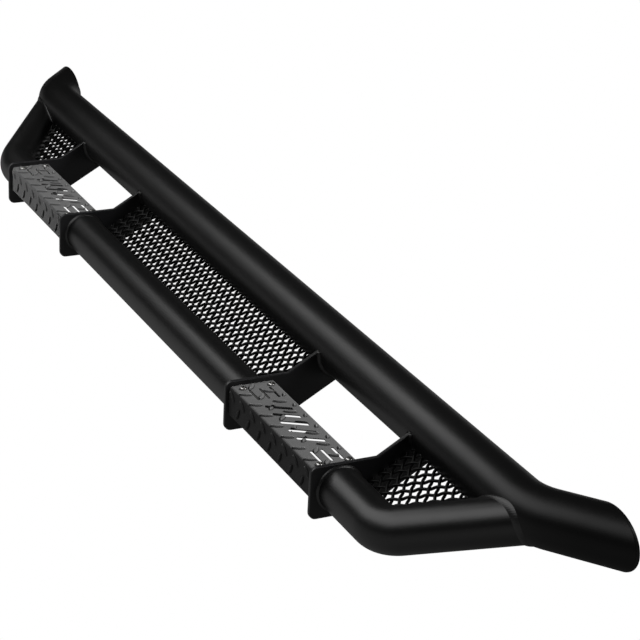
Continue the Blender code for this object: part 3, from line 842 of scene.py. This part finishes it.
def make_weld_nuts():
    for place in BRACKET_PLACES:
        for number in (1, 2):
            cad = f"weld_nut_{place}_{number}"
            make_nut(f"welded_nut_{place}_{number}", cad, *WELD_NUT)


# Wire mesh

WIRE_PITCH = 0.0127
WIRE_RADIUS = 0.0022
WIRE_CRIMP = 0.0013
WIRE_STEP = 0.0010
WIRE_SIDES = 10
TACK_RADIUS = 0.0025


def on_slope(x, s, lift):
    """Places on a mesh panel: x, distance s down its slope from the main tube, and lift off it."""
    y = MAIN_AXIS[0] + s * math.cos(MESH_SLOPE) - lift * math.sin(MESH_SLOPE)
    z = MAIN_AXIS[1] + s * math.sin(MESH_SLOPE) + lift * math.cos(MESH_SLOPE)
    return np.stack([x, y, z], -1)


def convex_outline(points):
    """Corners of the convex hull of flat points, anticlockwise."""
    points = sorted(set(map(tuple, np.round(points, 5))))
    halves = []
    for run in (points, points[::-1]):
        half = []
        for p in run:
            while len(half) > 1 and cross(half[-2], half[-1], p) <= 0:
                half.pop()
            half.append(p)
        halves.append(half[:-1])
    return np.array(halves[0] + halves[1])


def cross(o, a, b):
    return (a[0] - o[0]) * (b[1] - o[1]) - (a[1] - o[1]) * (b[0] - o[0])


def inside_span(outline, point, direction, grow):
    """The stretch of a line inside a convex outline grown by grow."""
    low, high = -9.0, 9.0
    for a, b in zip(outline, np.roll(outline, -1, 0)):
        run = (b - a) / np.linalg.norm(b - a)
        inward = np.array([-run[1], run[0]])
        depth = (point - a) @ inward + grow
        rate = direction @ inward
        if abs(rate) < 1e-9:
            if depth < 0:
                return None
        elif rate > 0:
            low = max(low, -depth / rate)
        else:
            high = min(high, -depth / rate)
    return (low, high) if high > low + 0.004 else None


def make_mesh_panels():
    """Crimped wires woven at 45 degrees to the board, tacked at both ends."""
    families = ((np.array([1, 1]) / math.sqrt(2), 1), (np.array([1, -1]) / math.sqrt(2), -1))
    c, sn = math.cos(MESH_SLOPE), math.sin(MESH_SLOPE)
    for name in ("centre", "near", "far"):
        points = np.array([v.co for v in NODES["mesh_panel_" + name].data.vertices])
        s = (points[:, 1] - MAIN_AXIS[0]) * c + (points[:, 2] - MAIN_AXIS[1]) * sn
        outline = convex_outline(np.column_stack([points[:, 0], s]))
        shape, tacks = Shape(), Shape()
        for direction, sign in families:
            normal = np.array([-direction[1], direction[0]]) * sign
            reach = int(1.0 / WIRE_PITCH)
            for i in range(-reach, reach):
                start = normal * i * WIRE_PITCH
                span = inside_span(outline, start, direction, 0.0012)
                if span is None:
                    continue
                t = np.arange(span[0], span[1], WIRE_STEP)
                t = np.append(t, span[1])
                lift = sign * WIRE_CRIMP * np.cos(math.pi * t / WIRE_PITCH + math.pi * i)
                flat = start + t[:, None] * direction
                path = on_slope(flat[:, 0], flat[:, 1], lift)
                shape.add(sweep(path, WIRE_RADIUS, WIRE_SIDES))
                for end in (path[0], path[-1]):
                    tack(tacks, end)
        ride(shape.build(f"wire_mesh_{name}", WIRE, 60), "mesh_coat", "mesh_panel_" + name)
        ride(tacks.build(f"wire_tacks_{name}", WELD, 80), "mesh_coat")


def tack(shape, centre):
    """A flattened ball of weld."""
    rows = []
    for t in np.linspace(0.15, math.pi - 0.15, 7):
        size, rise = TACK_RADIUS * math.sin(t), -TACK_RADIUS * 0.8 * math.cos(t)
        rows.append(circle_row(size, rise, WIRE_SIDES, (0, 0)) + centre)
    shape.add(rows)


def bracket_welds():
    """Fillets on the outer face of each bracket's ears and round each welded nut."""
    for place in BRACKET_PLACES:
        low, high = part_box("mount_" + place)
        weld = Shape()
        for face, way in ((low[0], -1), (high[0], 1)):
            first, last = math.radians(-28), math.radians(-83)
            main_fillet(weld, face, way, first, last, int(abs(face) * 100) + 11)
        ride(weld.build("bracket_weld_" + place, WELD, 60), "bracket_coat")
        for number in (1, 2):
            nut_low, nut_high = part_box(f"weld_nut_{place}_{number}")
            centre = ((nut_low[0] + nut_high[0]) / 2, (nut_low[1] + nut_high[1]) / 2)
            floor = nut_low[2] - 0.0003
            radius = WELD_NUT[0]
            root = hexagon_row(radius - 0.0004, floor, 120, centre)
            toe_a = hexagon_row(radius, floor + 0.0024, 120, centre)
            toe_b = hexagon_row(radius + 0.0026, floor, 120, centre)
            seam = Shape()
            fillet(seam, root, toe_a, toe_b, closed=True, seed=number)
            ride(seam.build(f"nut_weld_{place}_{number}", WELD, 60), "bracket_coat")


# Stage

CAMERA_PLACE = (2.79557, -1.28026, 1.24920)
# The camera's rotation vector, with x to the right, y down and z ahead.
CAMERA_TURN = (-3.277, -2.149, 1.310)
CAMERA_LENS = 117.731
CAMERA_SHIFT = (0.00415, 0.02063)
FLOOR_Z = -0.25
FLOOR_REACH = 30.0
# Light given off by the floor in front of the board, under it and behind it, and the places
# across the board between which it changes.
FLOOR_LIGHT = (0.32, 0.08, 0.40)
FLOOR_FRONT_Y = (-0.5, 0.0)
FLOOR_BACK_Y = (0.45, 0.8)
ROOM_LIGHT = 0.015
# Soft boxes: ends of the long side, the point they face, width and brightness.
SOFT_BOXES = {
    "soft_box_far": ((-1.95, -1.19, 1.3), (-0.05, -1.19, 1.3), (-1.0, -1.19, 0), 1.72, 2.3),
    "soft_box_near": ((-0.05, -1.35, 1.3), (1.3, -1.35, 1.3), (0.6, -1.35, 0), 1.5, 2.6),
    "soft_box_back": ((1.9, 1.9, 1.4), (3.8, 1.9, 1.4), (2.4, 0, 0), 1.2, 7.0),
}
# Fill lights: place, the point they face, size, power and spread in degrees.
FILL_LIGHTS = {
    "top": ((0.3, 1.5, 1.7), (0, -0.1, 0), (2.6, 0.5), 460, 180),
    "side": ((-1.0, -0.9, 0.25), (-0.5, -0.17, 0), (0.3, 0.3), 2, 40),
}


def make_camera():
    camera = bpy.data.objects.new("camera", bpy.data.cameras.new("camera"))
    bpy.context.scene.collection.objects.link(camera)
    camera.data.sensor_width = 36.0
    camera.data.lens = CAMERA_LENS
    camera.data.shift_x, camera.data.shift_y = CAMERA_SHIFT
    camera.data.clip_end = 100.0
    angle = np.linalg.norm(CAMERA_TURN)
    turn = turn_about(np.array(CAMERA_TURN) / angle, angle)
    axes = np.column_stack([turn[0], -turn[1], -turn[2]])
    camera.matrix_world = Matrix.Translation(CAMERA_PLACE) @ Matrix(axes.tolist()).to_4x4()
    bpy.context.scene.camera = camera


def fill_light(name, place, target, size, power, spread):
    """A light that shapes matt surfaces and doesn't show as a reflection."""
    light = bpy.data.lights.new(name, "AREA")
    light.shape = "RECTANGLE"
    light.size, light.size_y = size
    light.energy = power
    light.spread = math.radians(spread)
    obj = bpy.data.objects.new(name, light)
    obj.location = place
    obj.rotation_euler = (Vector(target) - Vector(place)).to_track_quat("-Z", "Y").to_euler()
    obj.visible_glossy = False
    bpy.context.scene.collection.objects.link(obj)


def strip_light(name, start, end, target, width, radiance):
    """A soft box with its long side from start to end, turned towards target."""
    start, end, target = (np.array(p, float) for p in (start, end, target))
    centre = (start + end) / 2
    along = (end - start) / np.linalg.norm(end - start)
    back = centre - target
    back -= (back @ along) * along
    back /= np.linalg.norm(back)
    light = bpy.data.lights.new(name, "AREA")
    light.shape = "RECTANGLE"
    light.size, light.size_y = np.linalg.norm(end - start), width
    light.energy = radiance * math.pi * light.size * light.size_y
    obj = bpy.data.objects.new(name, light)
    axes = np.column_stack([along, np.cross(back, along), back])
    obj.matrix_world = Matrix.Translation(centre) @ Matrix(axes.tolist()).to_4x4()
    bpy.context.scene.collection.objects.link(obj)


def white_to_camera(tree, lighting):
    """A strength that is full to the camera, and lighting for the light it gives."""
    path = tree.nodes.new("ShaderNodeLightPath")
    return maths(tree, "MAXIMUM", path.outputs["Is Camera Ray"], lighting)


def make_floor():
    """Plain white floor. From below it isn't there, so the underside can be seen."""
    far = FLOOR_REACH
    corners = [(-far, -far), (far, -far), (-far, far), (far, far)]
    points = [(x, y, FLOOR_Z) for x, y in corners]
    material = bpy.data.materials.new("floor")
    material.use_nodes = True
    tree = material.node_tree
    glow = tree.nodes.new("ShaderNodeEmission")
    geometry = tree.nodes.new("ShaderNodeNewGeometry")
    place = tree.nodes.new("ShaderNodeSeparateXYZ")
    tree.links.new(geometry.outputs["Position"], place.inputs[0])
    front = ramp(tree, place.outputs["Y"], *FLOOR_LIGHT[:2], *FLOOR_FRONT_Y)
    back = ramp(tree, place.outputs["Y"], 0.0, FLOOR_LIGHT[2], *FLOOR_BACK_Y)
    light = maths(tree, "MAXIMUM", front, back)
    tree.links.new(white_to_camera(tree, light), glow.inputs["Strength"])
    clear = tree.nodes.new("ShaderNodeBsdfTransparent")
    mix = tree.nodes.new("ShaderNodeMixShader")
    tree.links.new(geometry.outputs["Backfacing"], mix.inputs[0])
    tree.links.new(glow.outputs[0], mix.inputs[1])
    tree.links.new(clear.outputs[0], mix.inputs[2])
    tree.links.new(mix.outputs[0], tree.nodes["Material Output"].inputs["Surface"])
    new_object("floor", points, [(0, 1, 3, 2)], material, 0)


def make_stage():
    make_floor()
    world = bpy.data.worlds.new("world")
    world.use_nodes = True
    tree = world.node_tree
    background = tree.nodes["Background"]
    background.inputs["Color"].default_value = (1, 1, 1, 1)
    tree.links.new(white_to_camera(tree, ROOM_LIGHT), background.inputs["Strength"])
    bpy.context.scene.world = world
    bpy.context.scene.view_settings.view_transform = "Standard"
    for name, how in SOFT_BOXES.items():
        strip_light(name, *how)
    for name, how in FILL_LIGHTS.items():
        fill_light(name, *how)
    make_camera()


def main():
    make_main_tube()
    make_end_caps()
    make_outer_centre()
    make_outer_ends()
    collar_welds()
    arm_welds()
    ease_cad_nodes()
    make_steps()
    make_screws()
    make_mesh_panels()
    make_weld_nuts()
    bracket_welds()
    make_stage()


main()
